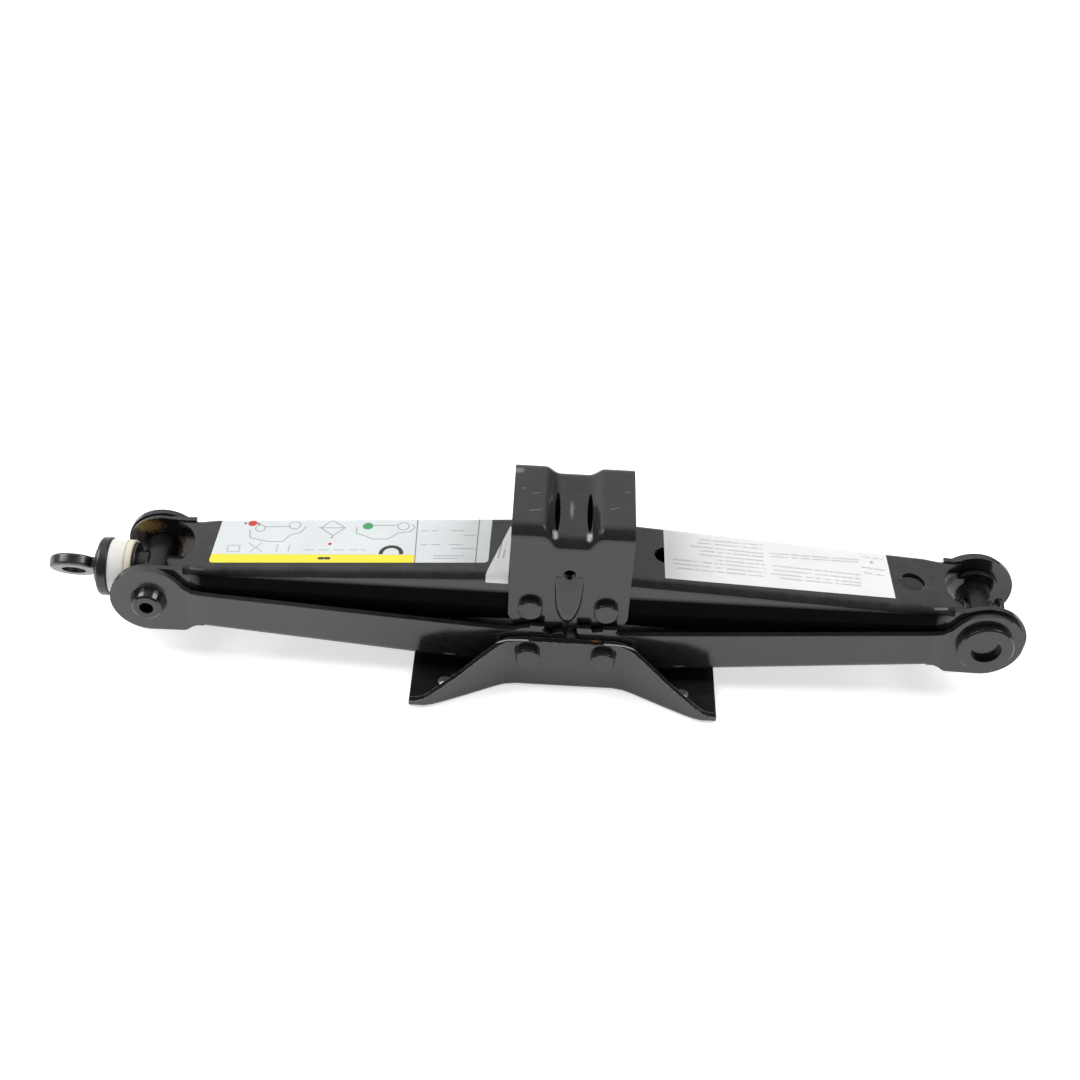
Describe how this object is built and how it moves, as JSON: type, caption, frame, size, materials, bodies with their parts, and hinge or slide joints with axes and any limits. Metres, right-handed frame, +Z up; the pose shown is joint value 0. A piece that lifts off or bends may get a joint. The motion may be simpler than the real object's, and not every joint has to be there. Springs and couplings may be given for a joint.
{
  "type": "scissor jack",
  "caption": "Screw-driven scissor jack folded flat, with geared pressed-steel arms, waisted foot plate, grooved sill saddle and crank eye.",
  "frame": {"origin": "centre of the foot plate's underside, on the middle plane between the two pairs of pivots", "axes": "+X along the lead screw away from the crank eye, +Y across the arms to the rear side, +Z up towards the saddle"},
  "size_m": [0.4494, 0.0988, 0.088],
  "materials": {
    "paint_base": "gloss black enamel",
    "paint_lower_arm": "gloss black enamel",
    "paint_upper_arm": "gloss black enamel",
    "paint_saddle": "gloss black enamel, worn at the fold",
    "paint_rivet": "gloss black enamel over steel",
    "paint_collar": "gloss black enamel over steel",
    "paint_flange": "black enamel",
    "steel_block": "phosphated, slightly oily",
    "steel_race": "ground, oily",
    "steel_ball": "polished",
    "steel_screw": "dark phosphated, greased",
    "nylon_white": "natural nylon",
    "label_left_face": null,
    "label_right_face": null,
    "label_tag": "coated paper"
  },
  "bodies": {
    "foot": {"base_plate": "paint_base", "base_rivets": "paint_rivet"},
    "lower_left": {"lower_arm_left": "paint_lower_arm"},
    "lower_right": {"lower_arm_right": "paint_lower_arm"},
    "upper_left": {"upper_arm_left": "paint_upper_arm", "label_left": "label_left_face", "small_tag": "label_tag"},
    "upper_right": {"upper_arm_right": "paint_upper_arm", "label_right": "label_right_face"},
    "head": {"saddle": "paint_saddle", "saddle_rivets": "paint_rivet"},
    "left_trunnion": {"thrust_block": "steel_block", "thrust_block_collars": "paint_collar", "thrust_washer": "steel_race"},
    "screw": {"lead_screw": "steel_screw", "drive_flange": "paint_flange", "nylon_ring": "nylon_white", "thrust_race": "steel_race", "thrust_balls": "steel_ball", "screw_end_stop": "steel_race"},
    "right_trunnion": {"trunnion_nut": "steel_block", "nut_washers": "paint_collar", "nut_heads": "paint_collar"}
  },
  "joints": [
    {"name": "main_fold", "type": "hinge", "parent": "foot", "child": "lower_left", "pos_m": [-0.017, 0, 0.0203], "axis": [0, 1, 0], "range_deg": [0, 58]},
    {"name": "lower_right_fold", "type": "hinge", "parent": "foot", "child": "lower_right", "pos_m": [0.017, 0, 0.0203], "axis": [0, 1, 0], "range_deg": [-58, 0]},
    {"name": "left_block_level", "type": "hinge", "parent": "lower_left", "child": "left_trunnion", "pos_m": [-0.19, 0, 0.0317], "axis": [0, 1, 0], "range_deg": [-58, 0]},
    {"name": "upper_left_fold", "type": "hinge", "parent": "lower_left", "child": "upper_left", "pos_m": [-0.19, 0, 0.0317], "axis": [0, 1, 0], "range_deg": [-116, 0]},
    {"name": "head_level", "type": "hinge", "parent": "upper_left", "child": "head", "pos_m": [-0.017, 0, 0.0431], "axis": [0, 1, 0], "range_deg": [0, 58]},
    {"name": "upper_right_fold", "type": "hinge", "parent": "lower_right", "child": "upper_right", "pos_m": [0.19, 0, 0.0317], "axis": [0, 1, 0], "range_deg": [0, 116]},
    {"name": "nut_level", "type": "hinge", "parent": "lower_right", "child": "right_trunnion", "pos_m": [0.19, 0, 0.0317], "axis": [0, 1, 0], "range_deg": [0, 58]},
    {"name": "screw_spin", "type": "hinge", "parent": "left_trunnion", "child": "screw", "pos_m": [-0.19, 0, 0.0317], "axis": [1, 0, 0], "continuous": true}
  ],
  "couplings": [
    {"joint": "lower_right_fold", "follows": "main_fold", "ratio": -1},
    {"joint": "left_block_level", "follows": "main_fold", "ratio": -1},
    {"joint": "upper_left_fold", "follows": "main_fold", "ratio": -2},
    {"joint": "head_level", "follows": "main_fold", "ratio": 1},
    {"joint": "upper_right_fold", "follows": "main_fold", "ratio": 2},
    {"joint": "nut_level", "follows": "main_fold", "ratio": 1}
  ]
}
